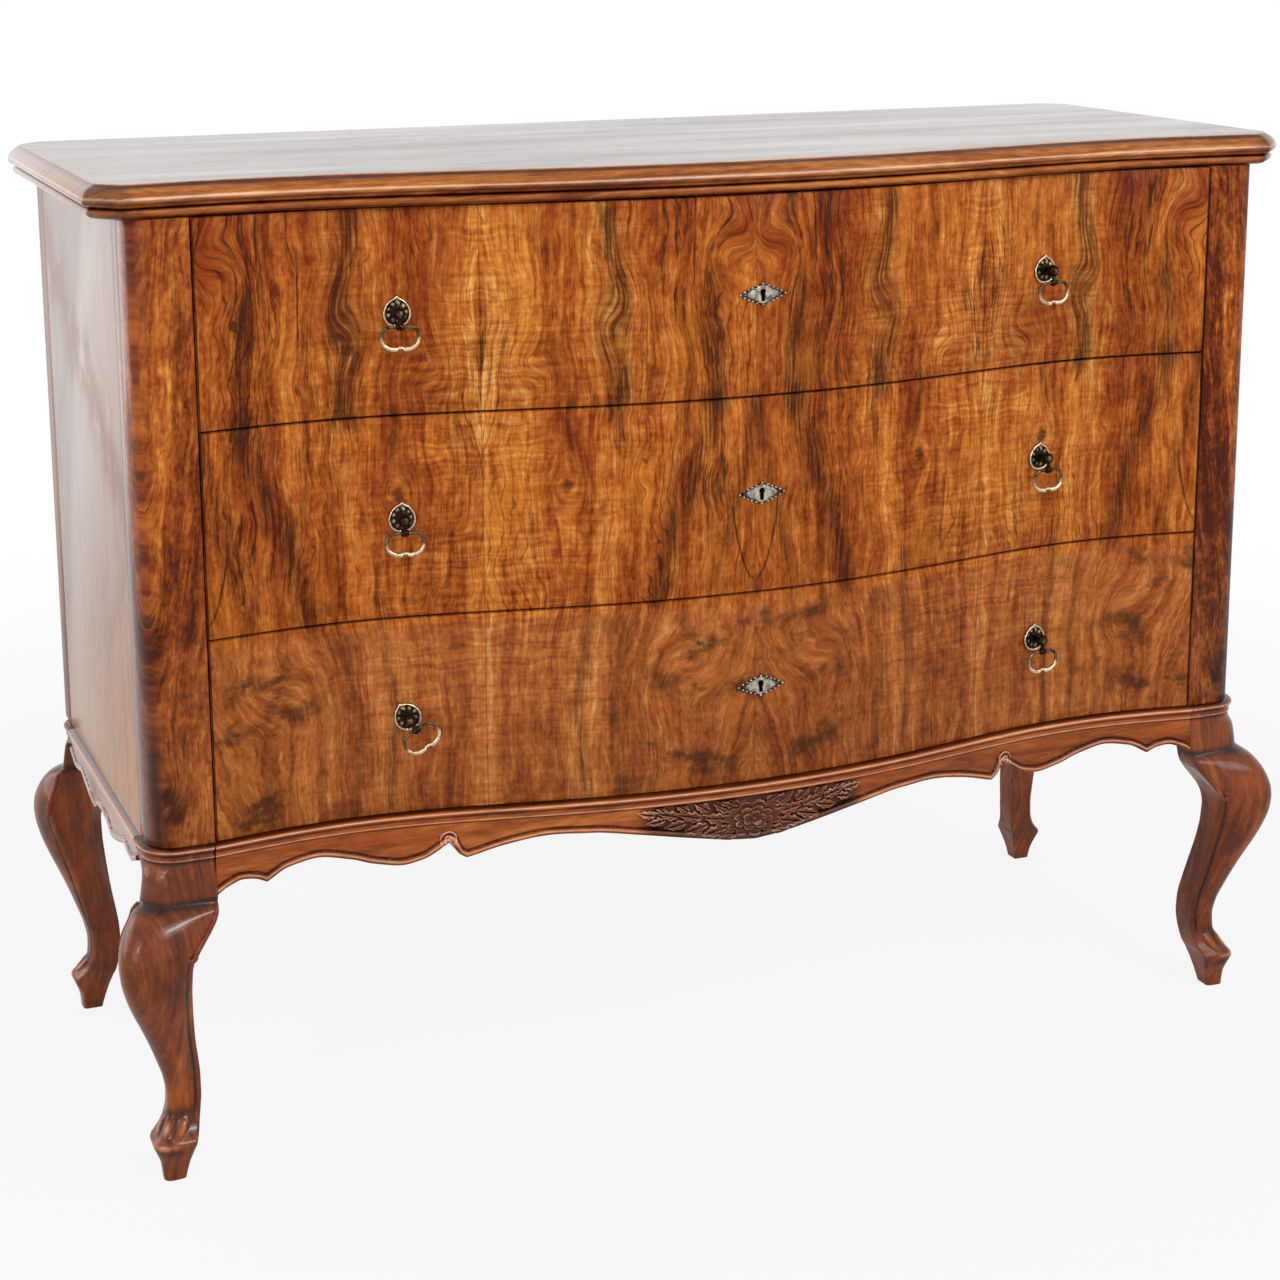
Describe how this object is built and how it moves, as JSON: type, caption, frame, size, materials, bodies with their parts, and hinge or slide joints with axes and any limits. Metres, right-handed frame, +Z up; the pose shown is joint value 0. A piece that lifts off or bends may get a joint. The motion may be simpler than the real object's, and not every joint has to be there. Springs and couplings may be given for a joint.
{
  "type": "chest of drawers",
  "caption": "Serpentine-front chest of drawers with figured veneer fronts, drop-ring pulls, locks, a carved scalloped apron and cabriole legs.",
  "frame": {"origin": "on the floor, at the middle of the width and of the depth", "axes": "+X to the chest's right side as seen from the front, -Y towards the drawer fronts, +Z up"},
  "size_m": [1.253, 0.5206, 0.94],
  "materials": {
    "figured_veneer": "high gloss",
    "solid_walnut": "high gloss",
    "moulded_walnut": "high gloss",
    "plain_poplar": "unfinished",
    "old_brass": "worn",
    "worn_nickel": "worn",
    "lock_iron": "dull"
  },
  "bodies": {
    "carcase": {"front_leg_left": "solid_walnut", "front_leg_right": "solid_walnut", "back_leg_left": "solid_walnut", "back_leg_right": "solid_walnut", "front_apron": "solid_walnut", "side_apron_left": "solid_walnut", "side_apron_right": "solid_walnut", "back_apron": "solid_walnut", "front_post_left": "figured_veneer", "front_post_right": "figured_veneer", "rear_post_left": "solid_walnut", "rear_post_right": "solid_walnut", "side_panel_left": "figured_veneer", "side_panel_right": "figured_veneer", "back_panel": "plain_poplar", "bottom_rail": "solid_walnut", "lower_rail": "solid_walnut", "upper_rail": "solid_walnut", "top_rail": "solid_walnut", "bottom_dust_board": "plain_poplar", "lower_dust_board": "plain_poplar", "upper_dust_board": "plain_poplar", "under_top_board": "moulded_walnut", "top_board": "moulded_walnut"},
    "lower_drawer": {"lower_drawer_front": "figured_veneer", "lower_drawer_side_left": "plain_poplar", "lower_drawer_side_right": "plain_poplar", "lower_drawer_back": "plain_poplar", "lower_drawer_bottom": "plain_poplar", "lower_escutcheon": "worn_nickel", "lower_lock_case": "lock_iron", "lower_pull_mount_left": "old_brass", "lower_pull_mount_right": "old_brass"},
    "lower_ring_left": {"lower_ring_left": "old_brass"},
    "lower_ring_right": {"lower_ring_right": "old_brass"},
    "lower_lock_bolt": {"lower_lock_bolt": "lock_iron"},
    "middle_drawer": {"middle_drawer_front": "figured_veneer", "middle_drawer_side_left": "plain_poplar", "middle_drawer_side_right": "plain_poplar", "middle_drawer_back": "plain_poplar", "middle_drawer_bottom": "plain_poplar", "middle_escutcheon": "worn_nickel", "middle_lock_case": "lock_iron", "middle_pull_mount_left": "old_brass", "middle_pull_mount_right": "old_brass"},
    "middle_ring_left": {"middle_ring_left": "old_brass"},
    "middle_ring_right": {"middle_ring_right": "old_brass"},
    "middle_lock_bolt": {"middle_lock_bolt": "lock_iron"},
    "upper_drawer": {"upper_drawer_front": "figured_veneer", "upper_drawer_side_left": "plain_poplar", "upper_drawer_side_right": "plain_poplar", "upper_drawer_back": "plain_poplar", "upper_drawer_bottom": "plain_poplar", "upper_escutcheon": "worn_nickel", "upper_lock_case": "lock_iron", "upper_pull_mount_left": "old_brass", "upper_pull_mount_right": "old_brass"},
    "upper_ring_left": {"upper_ring_left": "old_brass"},
    "upper_ring_right": {"upper_ring_right": "old_brass"},
    "upper_lock_bolt": {"upper_lock_bolt": "lock_iron"}
  },
  "joints": [
    {"name": "lower_drawer_slide", "type": "slide", "parent": "carcase", "child": "lower_drawer", "axis": [0, -1, 0], "range_m": [0, 0.35]},
    {"name": "lower_ring_left_swing", "type": "hinge", "parent": "lower_drawer", "child": "lower_ring_left", "pos_m": [-0.33648, -0.22419, 0.41611], "axis": [-0.8418, 0.1027, -0.5299], "range_deg": [-20, 110]},
    {"name": "lower_ring_right_swing", "type": "hinge", "parent": "lower_drawer", "child": "lower_ring_right", "pos_m": [0.34252, -0.22345, 0.41437], "axis": [-0.9926, -0.1211, 0], "range_deg": [-20, 110]},
    {"name": "lower_lock_bolt_slide", "type": "slide", "parent": "lower_drawer", "child": "lower_lock_bolt", "axis": [0, 0, 1], "range_m": [0, 0.007]},
    {"name": "middle_drawer_slide", "type": "slide", "parent": "carcase", "child": "middle_drawer", "axis": [0, -1, 0], "range_m": [0, 0.35]},
    {"name": "middle_ring_left_swing", "type": "hinge", "parent": "middle_drawer", "child": "middle_ring_left", "pos_m": [-0.34252, -0.22345, 0.6075], "axis": [-0.9926, 0.1211, 0], "range_deg": [-20, 110]},
    {"name": "middle_ring_right_swing", "type": "hinge", "parent": "middle_drawer", "child": "middle_ring_right", "pos_m": [0.34252, -0.22345, 0.6075], "axis": [-0.9926, -0.1211, 0], "range_deg": [-20, 110]},
    {"name": "middle_lock_bolt_slide", "type": "slide", "parent": "middle_drawer", "child": "middle_lock_bolt", "axis": [0, 0, 1], "range_m": [0, 0.007]},
    {"name": "upper_drawer_slide", "type": "slide", "parent": "carcase", "child": "upper_drawer", "axis": [0, -1, 0], "range_m": [0, 0.35]},
    {"name": "upper_ring_left_swing", "type": "hinge", "parent": "upper_drawer", "child": "upper_ring_left", "pos_m": [-0.34252, -0.22345, 0.80063], "axis": [-0.9926, 0.1211, 0], "range_deg": [-20, 110]},
    {"name": "upper_ring_right_swing", "type": "hinge", "parent": "upper_drawer", "child": "upper_ring_right", "pos_m": [0.34252, -0.22345, 0.80063], "axis": [-0.9926, -0.1211, 0], "range_deg": [-20, 110]},
    {"name": "upper_lock_bolt_slide", "type": "slide", "parent": "upper_drawer", "child": "upper_lock_bolt", "axis": [0, 0, 1], "range_m": [0, 0.007]}
  ]
}
